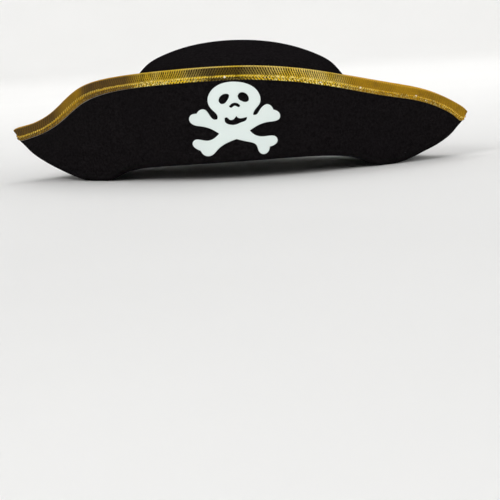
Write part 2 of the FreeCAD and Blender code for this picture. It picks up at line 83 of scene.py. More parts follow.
DOME = [(1, 0), (1, 0.29), (1, 0.44), (0.87, 0.67), (0.76, 0.8), (0.32, 1), (0, 1)]


# ---- curves ---------------------------------------------------------------------------------------

def spline(poles, count):
    """Points along a clamped cubic B-spline."""
    poles = np.array(poles, float)
    knots = np.r_[[0.0] * 3, np.linspace(0, 1, len(poles) - 2), [1.0] * 3]
    t = np.linspace(0, 1 - 1e-9, count)
    basis = [((low <= t) & (t < high)).astype(float) for low, high in zip(knots, knots[1:])]
    for degree in (1, 2, 3):
        raised = []
        for i in range(len(basis) - 1):
            left, right = knots[i + degree] - knots[i], knots[i + degree + 1] - knots[i + 1]
            term = np.zeros_like(t)
            if left > 0:
                term += basis[i] * (t - knots[i]) / left
            if right > 0:
                term += basis[i + 1] * (knots[i + degree + 1] - t) / right
            raised.append(term)
        basis = raised
    return np.stack(basis, 1) @ poles


def edge_line(stretches):
    """The (x, height) points of a long line."""
    return np.vstack([spline([(HALF_LENGTH * share, height) for share, height in stretch], count=300)
                      for stretch in stretches])


def through(points, per_leg=6):
    """A smooth curve through the points: a natural cubic spline over their chord lengths."""
    points = np.array(points, float)
    t = np.r_[0, np.cumsum(np.linalg.norm(np.diff(points, axis=0), axis=1))]
    h = np.diff(t)
    n = len(points)
    system, right = np.eye(n), np.zeros((n, 2))
    for i in range(1, n - 1):
        system[i, i - 1:i + 2] = h[i - 1], 2 * (h[i - 1] + h[i]), h[i]
        right[i] = 6 * ((points[i + 1] - points[i]) / h[i] - (points[i] - points[i - 1]) / h[i - 1])
    bend = np.linalg.solve(system, right)
    out = []
    for i in range(n - 1):
        u = np.linspace(0, h[i], per_leg, endpoint=False)[:, None]
        slope = (points[i + 1] - points[i]) / h[i] - h[i] * (2 * bend[i] + bend[i + 1]) / 6
        change = (bend[i + 1] - bend[i]) * u ** 3 / (6 * h[i])
        out.append(points[i] + slope * u + bend[i] * u ** 2 / 2 + change)
    return np.vstack(out)


def smooth_step(low, high, x):
    """0 where x is low or beyond, 1 where it is high or beyond, and soft between."""
    t = np.clip((x - low) / (high - low), 0, 1)
    return t * t * (3 - 2 * t)


keel_line, front_line, back_line = (edge_line(line) for line in (KEEL, FRONT_EDGE, BACK_EDGE))


def keel(x):
    return np.interp(x, keel_line[:, 0], keel_line[:, 1])


# ---- the wall of the brim, unrolled ---------------------------------------------------------------

def lens_table():
    """The brim's outer face seen from above, from the middle of the front round by the right horn."""
    spacing, straight_points = 0.5, 270
    horn_x = HALF_LENGTH - HORN_RADIUS
    turn = math.acos((FLAP_RADIUS - HORN_RADIUS) / horn_x)
    arcs = [(0, FLAP_RADIUS, -math.pi / 2, -turn), (horn_x, HORN_RADIUS, -turn, turn),
            (0, FLAP_RADIUS, turn, math.pi - turn), (-horn_x, HORN_RADIUS, math.pi - turn, math.pi + turn),
            (0, FLAP_RADIUS, math.pi + turn, 1.5 * math.pi)]
    rows = []
    for centre, radius, start, end in arcs:
        for angle in np.linspace(start, end, max(24, int(radius * (end - start) / spacing))):
            point = np.array([centre + radius * math.cos(angle), radius * math.sin(angle), angle])
            if rows and abs(rows[-1][2] - angle) < 1e-9:  # the tangent from the arc before
                last = rows[-1]
                rows += [last + (point - last) * t for t in np.linspace(0, 1, straight_points)[1:]]
            else:
                rows.append(point)
    rows = np.array(rows)
    s = np.r_[0, np.cumsum(np.hypot(*np.diff(rows[:, :2], axis=0).T))]
    return s, rows[:, 0], rows[:, 1], rows[:, 2]


S, LENS_X, LENS_Y, LENS_A = lens_table()
ROUND = S[-1]


def wall(s, out=0.0):
    """Where the wall's outer face is, seen from above, moved outwards."""
    s = np.mod(s, ROUND)
    angle = np.interp(s, S, LENS_A)
    return np.interp(s, S, LENS_X) + out * np.cos(angle), np.interp(s, S, LENS_Y) + out * np.sin(angle)


def top_table():
    """The height and the slope of the felt's edge along the wall."""
    front = np.interp(LENS_X, front_line[:, 0], front_line[:, 1])
    back = np.interp(LENS_X, back_line[:, 0], back_line[:, 1])
    ahead = smooth_step(3, -3, LENS_Y)
    height = front * ahead + back * (1 - ahead)
    spacing = 0.5
    even = np.arange(0, ROUND, spacing)
    level = np.interp(even, S, height)
    slope = (np.roll(level, -1) - np.roll(level, 1)) / (2 * spacing)
    for _ in range(10):
        slope = (np.roll(slope, 1) + slope + np.roll(slope, -1)) / 3
    return even, level, np.arctan(slope)


TOP_S, TOP_Z, TOP_SLOPE = top_table()


def top(s):
    return np.interp(np.mod(s, ROUND), TOP_S, TOP_Z, period=ROUND)


def down_from_edge(s, depth, out=0.0):
    """The point a distance down from the felt's edge, square to the edge, and a height off the wall."""
    slope = np.interp(np.mod(s, ROUND), TOP_S, TOP_SLOPE, period=ROUND)
    x, y = wall(s + depth * np.sin(slope), out)
    return np.stack([x, y, top(s) - depth * np.cos(slope)], -1)


def braid_room(s):
    """How much of the braid's width there is room for between the edge and the keel: 1 but at the horns."""
    room = np.full(np.shape(s), BRAID_WIDTH)
    step, clear = 0.25, 0.5
    for depth in np.arange(BRAID_WIDTH, 1, -step):
        point = down_from_edge(s, depth)
        room = np.where(point[..., 2] - keel(point[..., 0]) < clear, depth - step, room)
    return room / BRAID_WIDTH


def stations(fine, coarse):
    """Places round the wall, fine at the two horns and coarse elsewhere."""
    step, growth = 0.25, 0.1
    even = np.arange(0, ROUND, step)
    x, y = wall(even)
    from_tip = np.hypot(np.abs(x) - HALF_LENGTH, y)
    gap = np.clip(fine + growth * from_tip, fine, coarse)
    count = np.cumsum(step / gap)
    return np.interp(np.arange(int(count[-1])) * count[-1] / int(count[-1]), count, even)


# ---- the crown's own axis -------------------------------------------------------------------------

def stand(x, y, z):
    """From the crown's leaning axis to the hat's frame."""
    c, s = math.cos(CROWN_LEAN), math.sin(CROWN_LEAN)
    return np.stack([x * c + z * s + CROWN_PIVOT[0], y + 0 * x, z * c - x * s + CROWN_PIVOT[1]], -1)


def crown_at_height(theta, half_width, height):
    """The point of an upright oval wall at an angle, at a height that may depend on x."""
    x, y = half_width * np.cos(theta), half_width * DEPTH_RATIO * np.sin(theta)
    z = np.zeros_like(x)
    for _ in range(6):
        point = stand(x, y, z)
        z = z + (height(point[..., 0]) - point[..., 2])
    return stand(x, y, z), z


# ---- meshes ---------------------------------------------------------------------------------------

def dress(points):
    """How the real hat strays from its plain shape: every piece is carried along, so that they stay together.

    The ends of the horns are cut back on a slant, moved to the left and rounded at the top, and the felt
    drifts slowly all over."""
    moved = np.array(points, float)
    x, z = moved[:, 0].copy(), moved[:, 2].copy()
    side, out = np.sign(x), np.abs(x)
    edge = np.interp(x, front_line[:, 0], front_line[:, 1])
    below = np.clip(edge - z, 0, np.where(x < 0, *SLANT_REACH))
    moved[:, 0] -= side * np.where(x < 0, *SLANT) * below * smooth_step(154, HALF_LENGTH, out)
    moved[:, 0] -= TIP_DRIFT * smooth_step(140, HALF_LENGTH, out)
    moved[:, 2] -= TIP_DROP * smooth_step(165, 171, out) ** 1.6 * smooth_step(7, 0, below)
    for i, p in enumerate(moved.copy()):
        drift = [noise.noise(Vector(p) / DRIFT_SIZE + Vector(start)) for start in DRIFT_STARTS]
        share = 0.2 + 0.8 * min(max(p[2] / FULL_DRIFT_Z, 0), 1)
        moved[i] += np.array(drift) * share
        moved[i][2] = p[2] + 0.2 * drift[2] * share * min(max(p[2] / FULL_LIFT_Z, 0), 1)
    return moved


def grid_faces(rows, columns, around=True):
    """The quads of a grid whose vertex number is row * columns + column."""
    faces = []
    for i in range(rows - 1):
        for j in range(columns if around else columns - 1):
            k = (j + 1) % columns
            faces.append((i * columns + j, i * columns + k, (i + 1) * columns + k, (i + 1) * columns + j))
    return faces


def mesh_piece(name, points, faces, look, node, uv=None, flip=False):
    """A smooth-shaded piece from points in millimetres, which rides on the hat and stands for a CAD node."""
    mesh = bpy.data.meshes.new(name)
    if flip:
        faces = [tuple(reversed(face)) for face in faces]
    mesh.from_pydata([tuple(p) for p in dress(points) * 0.001], [], faces)
    mesh.polygons.foreach_set("use_smooth", [True] * len(mesh.polygons))
    if uv is not None:
        layer = mesh.uv_layers.new(name="UVMap")
        corners = np.zeros(len(mesh.loops), int)
        mesh.loops.foreach_get("vertex_index", corners)
        layer.data.foreach_set("uv", np.asarray(uv, float)[corners].ravel())
    mesh.materials.append(look)
    mesh.validate()
    mesh.update()
    piece = bpy.data.objects.new(name, mesh)
    bpy.context.scene.collection.objects.link(piece)
    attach(piece, "root")
    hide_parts(node)
    return piece


def thicken(piece, thickness):
    """Gives a sheet its thickness, inwards from its face."""
    solid = piece.modifiers.new("thickness", "SOLIDIFY")
    solid.thickness = thickness * 0.001
    solid.offset = -1.0
    solid.use_even_offset = True
    solid.thickness_clamp = 1.2


def tubes(paths, radius, sides=6):
    """Round threads along several paths, as points, faces and UVs with u in millimetres along a thread."""
    all_points, all_faces, all_uv = [], [], []
    start = 0
    for path in paths:
        path = np.array(path, float)
        ahead = np.gradient(path, axis=0)
        ahead /= np.linalg.norm(ahead, axis=1)[:, None]
        side = np.cross(ahead, (0.0, 0.0, 1.0))
        weak = np.linalg.norm(side, axis=1) < 0.2
        side[weak] = np.cross(ahead[weak], (0.0, 1.0, 0.0))
        side /= np.linalg.norm(side, axis=1)[:, None]
        up = np.cross(side, ahead)
        along = np.r_[0, np.cumsum(np.linalg.norm(np.diff(path, axis=0), axis=1))]
        taper = np.ones(len(path))
        taper[0] = taper[-1] = 0.45
        n = len(path)
        for k in range(sides):
            angle = 2 * math.pi * k / sides
            ring = side * math.cos(angle) + up * math.sin(angle)
            all_points.append(path + ring * (radius * taper)[:, None])
            all_uv.append(np.stack([along, np.full(n, k / sides)], 1))
        for k in range(sides):
            a, b = start + k * n, start + ((k + 1) % sides) * n
            all_faces += [(a + i, a + i + 1, b + i + 1, b + i) for i in range(n - 1)]
        all_faces.append(tuple(start + k * n for k in range(sides)))
        all_faces.append(tuple(start + k * n + n - 1 for k in reversed(range(sides))))
        start += sides * n
    return np.vstack(all_points), all_faces, np.vstack(all_uv)


def twisted(path, radius, pitch, strands=2):
    """The strands of a plied thread about a path."""
    path = np.array(path, float)
    along = np.r_[0, np.cumsum(np.linalg.norm(np.diff(path, axis=0), axis=1))]
    count = max(8, int(along[-1] / pitch * 8))
    even = np.linspace(0, along[-1], count)
    centre = np.stack([np.interp(even, along, path[:, k]) for k in range(3)], 1)
    ahead = np.gradient(centre, axis=0)
    ahead /= np.linalg.norm(ahead, axis=1)[:, None]
    side = np.cross(ahead, (0.12, 0.05, 1.0))
    side /= np.linalg.norm(side, axis=1)[:, None]
    up = np.cross(side, ahead)
    out = []
    for k in range(strands):
        angle = (2 * math.pi * (even / pitch + k / strands))[:, None]
        out.append(centre + radius * (side * np.cos(angle) + up * np.sin(angle)))
    return out


# ---- materials ------------------------------------------------------------------------------------

class Look:
    """A procedural material, built node by node."""

    def __init__(self, name, **surface):
        self.material = bpy.data.materials.new(name)
        self.material.use_nodes = True
        self.tree = self.material.node_tree
        self.shader = next(n for n in self.tree.nodes if n.type == "BSDF_PRINCIPLED")
        for socket, value in surface.items():
            self.shader.inputs[socket.replace("_", " ")].default_value = value

    def add(self, kind, inputs=(), **settings):
        node = self.tree.nodes.new(kind)
        for key, value in settings.items():
            setattr(node, key, value)
        for socket, value in dict(inputs).items():
            if isinstance(value, bpy.types.NodeSocket):
                self.tree.links.new(value, node.inputs[socket])
            else:
                node.inputs[socket].default_value = value
        return node

    def place(self, kind="Object"):
        return self.add("ShaderNodeTexCoord").outputs[kind]

    def axes(self, kind="Object"):
        return self.add("ShaderNodeSeparateXYZ", {"Vector": self.place(kind)}).outputs

    def noise(self, scale, vector, detail=3.0, rough=0.6):
        return self.add("ShaderNodeTexNoise", {"Vector": vector, "Scale": scale, "Detail": detail,
                                              "Roughness": rough}).outputs["Fac"]

    def math(self, operation, a, b=0.0, c=0.0):
        return self.add("ShaderNodeMath", {0: a, 1: b, 2: c}, operation=operation).outputs[0]

    def times(self, a, b):
        return self.math("MULTIPLY", a, b)

    def times_plus(self, a, b, c):
        return self.math("MULTIPLY_ADD", a, b, c)

    def wave(self, angle):
        """A sine that runs from 0 to 1."""
        return self.times_plus(self.math("SINE", angle), 0.5, 0.5)

    def share(self, value, low, high, least=0.0, most=1.0):
        """A soft step: least where the value is low or beyond, most where it is high or beyond."""
        inputs = {"Value": value, "From Min": low, "From Max": high, "To Min": least, "To Max": most}
        return self.add("ShaderNodeMapRange", inputs, interpolation_type="SMOOTHSTEP").outputs[0]

    def specks(self, place, scale, size, part):
        """A dot in each of a part of the cells of a scattered pattern."""
        cells = self.add("ShaderNodeTexVoronoi", {"Vector": place, "Scale": scale})
        pick = self.add("ShaderNodeSeparateColor", {"Color": cells.outputs["Color"]}).outputs[0]
        near = self.math("LESS_THAN", cells.outputs["Distance"], size)
        return self.times(near, self.math("LESS_THAN", pick, part))

    def ramp(self, fac, *stops):
        node = self.add("ShaderNodeValToRGB", {"Fac": fac})
        elements = node.color_ramp.elements
        while len(elements) < len(stops):
            elements.new(0.5)
        for element, (position, colour) in zip(elements, stops):
            element.position = position
            element.color = (*colour, 1) if isinstance(colour, tuple) else (colour, colour, colour, 1)
        return node.outputs["Color"]

    def mix(self, fac, a, b):
        """The colour a where fac is 0, and b where it is 1."""
        node = self.add("ShaderNodeMix", data_type="RGBA")
        for socket, value in ((node.inputs[0], fac), (node.inputs[6], a), (node.inputs[7], b)):
            if isinstance(value, bpy.types.NodeSocket):
                self.tree.links.new(value, socket)
            else:
                socket.default_value = (*value, 1)
        return node.outputs[2]

    def bump(self, height, strength, distance, after=None):
        inputs = {"Height": height, "Strength": strength, "Distance": distance}
        if after:
            inputs["Normal"] = after
        return self.add("ShaderNodeBump", inputs).outputs["Normal"]

    def set(self, **sockets):
        for socket, value in sockets.items():
            self.tree.links.new(value, self.shader.inputs[socket.replace("_", " ")])
        return self.material


def felt_look():
    look = Look("black_felt", Roughness=1.0, Specular_IOR_Level=0.0, Sheen_Weight=0.004, Sheen_Roughness=0.6,
                Sheen_Tint=(0.62, 0.6, 0.66, 1))
    place = look.place()
    fibres = look.noise(1500, place, 4, 0.7)
    tufts = look.noise(560, place, 3, 0.6)
    patches = look.noise(26, place, 2, 0.5)
    fluff = look.times_plus(fibres, 0.35, look.times(tufts, 0.65))
    colour = look.ramp(fluff, (0.34, (0.0020, 0.0017, 0.0018)), (0.66, (0.0128, 0.0112, 0.0118)))
    colour = look.mix(look.ramp(patches, (0.4, 0.0), (0.7, 0.3)), colour, (0.0055, 0.0048, 0.0054))
    colour = look.mix(look.specks(place, 34.0, 0.013, 0.35), colour, (0.13, 0.13, 0.14))
    normal = look.bump(fibres, 0.8, 0.0004)
    normal = look.bump(tufts, 0.6, 0.0009, normal)
    return look.set(Base_Color=colour, Normal=normal)


def braid_look():
    """Metallic braid: u runs along it and v across it, both in millimetres, v = 0 at the edge.

    The places along the hat are in metres, as is everything that comes from the object's own coordinates."""
    look = Look("gold_braid", Specular_IOR_Level=0.08, Specular_Tint=(1.0, 0.68, 0.12, 1))
    times, times_plus, share = look.times, look.times_plus, look.share
    place = look.place()
    across = look.axes()["X"]
    uv = look.axes("UV")
    u = look.math("ADD", uv["X"], times_plus(look.noise(160, place, 1), 0.5, -0.25))
    v = look.math("ADD", uv["Y"], times_plus(look.noise(330, place, 2), 0.5, -0.25))
    glitter = look.noise(1300, place, 2, 0.7)
    patches = look.noise(150, place, 3, 0.6)
    slow = look.noise(30, place, 2, 0.5)

    def band(low, high, soft=0.15):
        return times(share(v, low - soft, low + soft), share(v, high + soft, high - soft))

    # painted light: how the yarn catches the light is painted into its colour by place, one way on the left,
    # the other on the right, little in the middle
    left = share(across, 0.012, -0.02)
    from_middle = look.math("ABSOLUTE", look.math("ADD", across, 0.01))
    painted_lit_sides = share(from_middle, 0.006, 0.055, 0.12, 1.0)
    left_horn, right_horn = share(across, -0.064, -0.084), share(across, 0.062, 0.088)
    horn = look.math("ADD", left_horn, right_horn)
    patch = times(share(across, -0.142, -0.128), share(across, -0.112, -0.12))

    def strands(lean, pitch, low, high):
        """Bright strands that lean one way, with dark gaps between them."""
        return share(look.wave(times(times_plus(v, lean, u), 2 * math.pi / pitch)), low, high)

    def crossed(lean, pitch, low, high, rising, falling):
        """Strands that lean both ways, each with (what the left adds, how bright it is on the right): painted
        light, each way lit more on one side.
        """
        return look.math("MAXIMUM", times(strands(lean, pitch, low, high), times_plus(left, *rising)),
                         times(strands(-lean, pitch, low, high), times_plus(left, *falling)))

    lattice = crossed(0.62, 1.85, 0.5, 0.74, (0.65, 0.35), (-0.65, 1.0))
    flecks = crossed(0.8, 2.4, 0.4, 0.62, (0.6, 0.4), (-0.5, 1.0))
    twist = strands(0.9, 1.9, 0.15, 0.6)

    # how much gold shows over the dark ground, band by band from the edge down, then on the hem inside; where
    # it changes along the hat, at the horns, in the patch on the left horn and towards the middle, it is
    # painted light
    mesh, ridge, low, edge = band(0.7, 5.75), band(5.75, 7.0), band(7.0, 9.3), band(-1.9, 0.7)
    flat_gold = times(look.math("MAXIMUM", right_horn, patch), share(slow, 0.38, 0.56, 0.27, 0.42))
    by_horn = look.math("SUBTRACT", times_plus(right_horn, -0.45, 1.0), times(left_horn, 0.86))
    strand_gold = times(times(lattice, share(patches, 0.3, 0.55, 0.55, 1.0)), times(painted_lit_sides, by_horn))
    gold = times(mesh, look.math("MAXIMUM", strand_gold, flat_gold))
    lumps = share(patches, 0.36, 0.56, 0.45, 1.0)
    ridge_gold = times(times(times_plus(twist, 0.6, 0.5), lumps), times_plus(left_horn, -0.35, 1.0))
    gold = times_plus(ridge, ridge_gold, gold)
    fleck_gold = times(flecks, share(patches, 0.4, 0.6, 0.7, 1.3))
    fleck_gold = times(fleck_gold, share(from_middle, 0.006, 0.035, 0.08, 1.0))
    fleck_gold = times(times(fleck_gold, times_plus(left_horn, -0.6, 1.0)), share(horn, 0, 1, 1.0, 0.5))
    gold = times_plus(low, look.math("MAXIMUM", fleck_gold, flat_gold), gold)
    edge_gold = times(times_plus(twist, 0.35, 0.5), times_plus(left_horn, -0.2, 1.0))
    gold = times_plus(edge, edge_gold, gold)
    hem = look.add("ShaderNodeMapRange", {"Value": v, "From Min": -1.7, "From Max": -2.3}).outputs[0]
    gold = times_plus(hem, times_plus(lattice, 0.6, 0.1), gold)
    gold = look.math("MINIMUM", times(gold, share(glitter, 0.3, 0.6, 0.75, 1.1)), 1.0)

    # the gold's colour and the dark ground, with painted light: deeper gold and a lighter ground at the
    # horns, and painted pale highlights in places near the edge
    bright = look.mix(slow, (0.70, 0.42, 0.006), (1.0, 0.70, 0.03))
    pale = times(look.math("ADD", edge, mesh), share(horn, 1, 0))
    pale = times(pale, share(look.noise(45, place, 1), 0.4, 0.62, 0.1, 0.8))
    bright = look.mix(pale, bright, (1.0, 0.77, 0.22))
    bright = look.mix(times(horn, 0.85), bright, (0.74, 0.385, 0.004))
    ground = look.mix(horn, (0.020, 0.012, 0.006), (0.060, 0.036, 0.017))
    colour = look.mix(gold, ground, bright)

    # painted sparkle on the lower bands and painted glints along the ridge, both painted highlights, and the
    # grey selvedge
    painted_sparkle = times(share(look.noise(780, place, 1), 0.54, 0.6), look.math("ADD", ridge, low))
    by_horn = look.math("SUBTRACT", share(horn, 0, 1, 1.0, 0.3), times(left_horn, 0.22))
    colour = look.mix(times(painted_sparkle, times(by_horn, painted_lit_sides)), colour, (1.0, 0.9, 0.36))
    painted_glints = times(look.specks(place, 150.0, 0.13, 0.8), band(5.2, 7.9))
    colour = look.mix(painted_glints, colour, (0.95, 0.93, 0.85))
    selvedge = times(band(9.28, 9.7, 0.08), share(across, -0.06, -0.1, 0.1, 0.8))
    colour = look.mix(selvedge, colour, (0.38, 0.36, 0.33))

    height = times_plus(lattice, mesh, times(twist, look.math("ADD", ridge, edge)))
    height = times_plus(flecks, low, height)
    normal = look.bump(height, 0.9, 0.0004)
    normal = look.bump(glitter, 0.4, 0.00012, normal)
    return look.set(Base_Color=colour, Roughness=share(gold, 0.0, 1.0, 0.6, 0.42),
                    Metallic=times_plus(gold, 0.35, 0.1), Normal=normal)


def thread_look(name, dark, light, metal, rough):
    """A twisted thread: u runs along it in millimetres, and v once round it from 0 to 1."""
    look = Look(name, Roughness=rough, Metallic=metal, Specular_IOR_Level=0.4)
    uv = look.axes("UV")
    ply = look.wave(look.times_plus(uv["Y"], 6.283, look.times(uv["X"], 9.0)))
    grain = look.noise(1400, look.place(), 3, 0.7)
    colour = look.mix(look.times(look.math("ADD", ply, grain), 0.5), dark, light)
    return look.set(Base_Color=colour, Normal=look.bump(ply, 0.6, 0.0001))


def emblem_look():
    look = Look("white_emblem", Roughness=0.62, Specular_IOR_Level=0.35, Sheen_Weight=0.05,
                Sheen_Roughness=0.4)
    place = look.place()
    grain = look.noise(2200, place, 3, 0.65)
    patches = look.noise(60, place, 2, 0.5)
    colour = look.mix(patches, (0.725, 0.805, 0.775), (0.79, 0.86, 0.83))
    colour = look.mix(look.ramp(grain, (0.3, 0.12), (0.6, 0.0)), colour, (0.60, 0.67, 0.64))
    return look.set(Base_Color=colour, Normal=look.bump(grain, 0.12, 0.0001))


def ribbon_look():
    """Ribbed ribbon: u runs along it and v across it, in millimetres."""
    look = Look("black_ribbon", Roughness=0.6, Specular_IOR_Level=0.4, Sheen_Weight=0.12, Sheen_Roughness=0.3)
    uv = look.axes("UV")
    ribs = look.wave(look.times(uv["X"], 7.4))
    warp = look.wave(look.times(uv["Y"], 19.0))
    grain = look.noise(1500, look.place(), 3)
    colour = look.mix(look.times(ribs, grain), (0.010, 0.0095, 0.0105), (0.034, 0.032, 0.036))
    normal = look.bump(ribs, 0.9, 0.00035)
    return look.set(Base_Color=colour, Normal=look.bump(warp, 0.25, 0.00008, normal))


def floor_look():
    look = Look("pale_floor", Roughness=0.7, Specular_IOR_Level=0.25)
    place = look.place()
    colour = look.mix(look.noise(3.0, place, 2), (0.80, 0.795, 0.78), (0.84, 0.835, 0.82))
    return look.set(Base_Color=colour, Normal=look.bump(look.noise(400, place, 2), 0.02, 0.0005))


felt = felt_look()
braid_gold = braid_look()
gold_thread = thread_look("gold_thread", (0.80, 0.50, 0.02), (1.0, 0.82, 0.18), 0.4, 0.3)
black_thread = thread_look("black_thread", (0.008, 0.0075, 0.0085), (0.03, 0.028, 0.032), 0.0, 0.6)
white = emblem_look()
ribbon = ribbon_look()


# ---- the brim -------------------------------------------------------------------------------------

def fold_radius(s):
    """How tightly the felt turns from the floor up into the wall: a soft least of what there is room for."""
    widest, sharp = 4.4, 1.6
    x, y = wall(s)
    sine = np.sin(np.interp(np.mod(s, ROUND), S, LENS_A))
    oval = np.hypot((x - CROWN_PIVOT[0]) / CROWN_HALF_WIDTH, y / CROWN_HALF_DEPTH)
    to_crown = np.hypot(x, y) * (1 - 1 / np.maximum(oval, 1.001))
    to_middle = HORN_RADIUS + np.abs(y - HORN_RADIUS * sine) / np.maximum(np.abs(sine), 0.3)
    room = np.stack([np.full_like(x, widest), 0.7 * to_crown, 0.75 * to_middle, 0.55 * (top(s) - keel(x))])
    return -np.log(np.exp(-sharp * room).sum(0)) / sharp + 0.25


def make_brim():
    """One sheet of felt from the crown's foot out over the floor, round the fold and up to the edge."""
    s = stations(0.5, 3.0)
    x, y = wall(s)
    angle = np.interp(s, S, LENS_A)
    nx, ny = np.cos(angle), np.sin(angle)
    radius = fold_radius(s)
    theta = np.arctan2(y / CROWN_HALF_DEPTH, (x - CROWN_PIVOT[0]) / CROWN_HALF_WIDTH)
    hole, _ = crown_at_height(theta, CROWN_HALF_WIDTH - 0.6, keel)
    fold_x, fold_y = x - radius * nx, y - radius * ny
    rows = []
    for t in np.linspace(0, 1, 30):
        px, py = hole[:, 0] + (fold_x - hole[:, 0]) * t, hole[:, 1] + (fold_y - hole[:, 1]) * t
        rows.append(np.stack([px, py, keel(px)], 1))
    for phi in np.linspace(0, math.pi / 2, 10)[1:]:
        px, py = fold_x + radius * math.sin(phi) * nx, fold_y + radius * math.sin(phi) * ny
        rows.append(np.stack([px, py, keel(px) + radius * (1 - math.cos(phi))], 1))
    base = keel(x) + radius
    felt_edge = top(s) - 0.5  # a little under the fold of the braid
    for t in np.linspace(0, 1, 24)[1:]:
        rows.append(np.stack([x, y, base + (felt_edge - base) * t], 1))
    piece = mesh_piece("brim_felt", np.vstack(rows), grid_faces(len(rows), len(s)), felt, node="brim")
    thicken(piece, FELT)


# ---- the crown ------------------------------------------------------------------------------------

def make_crown():
    """The oval dome, from its foot in the brim to the middle of its top."""
    columns = 220
    mean_radius = 88
    theta = np.linspace(0, 2 * math.pi, columns, endpoint=False)
    _, foot = crown_at_height(theta, CROWN_HALF_WIDTH, lambda x: keel(x) + 0.15)
    rows = []
    for t in np.linspace(0, 1, 14)[:-1]:
        z = foot + (WALL_HEIGHT - foot) * t
        rows.append(stand(CROWN_HALF_WIDTH * np.cos(theta), CROWN_HALF_DEPTH * np.sin(theta), z))
    dome = spline(DOME, 400)
    length = np.r_[0, np.cumsum(np.hypot(*(np.diff(dome, axis=0) * (mean_radius, DOME_HEIGHT)).T))]
    even = np.linspace(0, length[-1], 46)[:-1]
    for share, height in zip(np.interp(even, length, dome[:, 0]), np.interp(even, length, dome[:, 1])):
        rows.append(stand(CROWN_HALF_WIDTH * share * np.cos(theta), CROWN_HALF_DEPTH * share * np.sin(theta),
                          np.full(columns, WALL_HEIGHT + DOME_HEIGHT * height)))
    points = np.vstack(rows + [stand(np.zeros(1), np.zeros(1), np.full(1, WALL_HEIGHT + DOME_HEIGHT))])
    faces = grid_faces(len(rows), columns)
    last = (len(rows) - 1) * columns
    faces += [(last + j, last + (j + 1) % columns, len(points) - 1) for j in range(columns)]
    piece = mesh_piece("crown_felt", points, faces, felt, node="crown")
    thicken(piece, FELT)


# ---- the sweatband --------------------------------------------------------------------------------

def make_sweatband():
    """A ribbed ribbon round the inside of the crown, with its ends lapped at the back, and its stitches."""
    lap = 13 / 85  # an angle
    low, high = 2.0, 24.0
    back, whole_turn = math.pi / 2, 2 * math.pi
    theta = np.linspace(back - lap, back + whole_turn, 420)
    over = smooth_step(whole_turn - 2.2 * lap, whole_turn - 1.1 * lap, theta - theta[0])
    along = (theta - theta[0]) * RIBBON_RADIUS
    rows, uv = [], []
    for z in np.linspace(low, high, 13):
        belly = 0.35 * np.sin((z - low) / (high - low) * math.pi) + 0.12 * np.sin(theta * 23 + z * 0.3)
        half = HEAD_HALF_WIDTH + 0.35 + belly - 1.15 * over
        rows.append(stand(half * np.cos(theta), half * DEPTH_RATIO * np.sin(theta), np.full(len(theta), z)))
        uv.append(np.stack([along, np.full(len(theta), z)], 1))
    band = mesh_piece("sweatband_ribbon", np.vstack(rows), grid_faces(len(rows), len(theta), False), ribbon,
                      uv=np.vstack(uv), node="sweatband", flip=True)
    thicken(band, 0.75)

    paths = []
    step = 4.6 / RIBBON_RADIUS
    for start in np.arange(back + 0.02, back + whole_turn - 0.03, step):
        t = np.linspace(0, 1, 7)
        angle = start + t * step * 0.72
        half = HEAD_HALF_WIDTH - 0.05 - 0.28 * np.sin(t * math.pi)
        z = np.full(len(t), 21.8 + 0.12 * np.sin(7 * start))
        paths.append(stand(half * np.cos(angle), half * DEPTH_RATIO * np.sin(angle), z))
    points, faces, uv = tubes(paths, 0.27)
    mesh_piece("sweatband_stitches", points, faces, black_thread, uv=uv, node="sweatband_thread")


def make_head_seam():
    """Slanted stitches between the crown's foot and the brim."""
    paths = []
    step = 3.1 / 88
    for start in np.arange(0, 2 * math.pi, step):
        t = np.linspace(0, 1, 8)
        angle = start + (t - 0.5) * step * 0.75
        out = 0.25 + 1.9 * t
        rise = 2.1 * (1 - t) ** 1.5 + 0.25
        line, _ = crown_at_height(angle, CROWN_HALF_WIDTH + out, lambda x: keel(x) + FELT + rise)
        paths.append(line)
    points, faces, uv = tubes(paths, 0.28)
    mesh_piece("head_seam_stitches", points, faces, black_thread, uv=uv, node="head_seam_thread")


# ---- the braid ------------------------------------------------------------------------------------

# The braid's section as (depth below the edge, height off the felt): its face from the lower selvedge up, the
# hem down the inside, and the back of the hem.  TURN_HEIGHT is its height where it turns over the edge.
FACE = [(9.5, 0.25), (9.46, 0.55), (9.15, 0.76), (8.75, 0.7), (8.3, 0.6), (7.7, 0.62), (7.4, 0.82),
        (7.05, 1.1), (6.6, 1.24), (6.15, 1.1), (5.8, 0.82), (5.4, 0.62), (4.4, 0.56), (3.3, 0.55),
        (2.2, 0.58), (1.6, 0.62)]
TURN_HEIGHT = 0.68
HEM = [(1.9, 0.72), (2.8, 0.6), (3.5, 0.62), (3.9, 0.55), (4.0, 0.2)]
UNDER = 0.03  # how far the braid's back is from the felt
INSIDE = [(3.9, UNDER), (2.0, UNDER), (1.1, UNDER)]


def braid_section():
    """The closed section as rows of (out from the felt's outer face, depth, v)."""
    half = FELT / 2
    section = [(h, d, d) for d, h in FACE]
    for phi in np.linspace(0, math.pi, 11):
        radius = half + TURN_HEIGHT - 0.12 * math.sin(phi)
        v = 1.3 - 3.4 * phi / math.pi
        section.append((-half + radius * math.cos(phi), half - radius * math.sin(phi), v))
    section += [(-FELT - h, d, -1.0 - d) for d, h in HEM + INSIDE]
    for phi in np.linspace(math.pi, 0, 7):
        radius = half + UNDER
        section.append((-half + radius * math.cos(phi), half - radius * math.sin(phi), 0.0))
    section += [(UNDER, d, d) for d in (2.5, 4.8, 7.0, 9.3)]
    return section


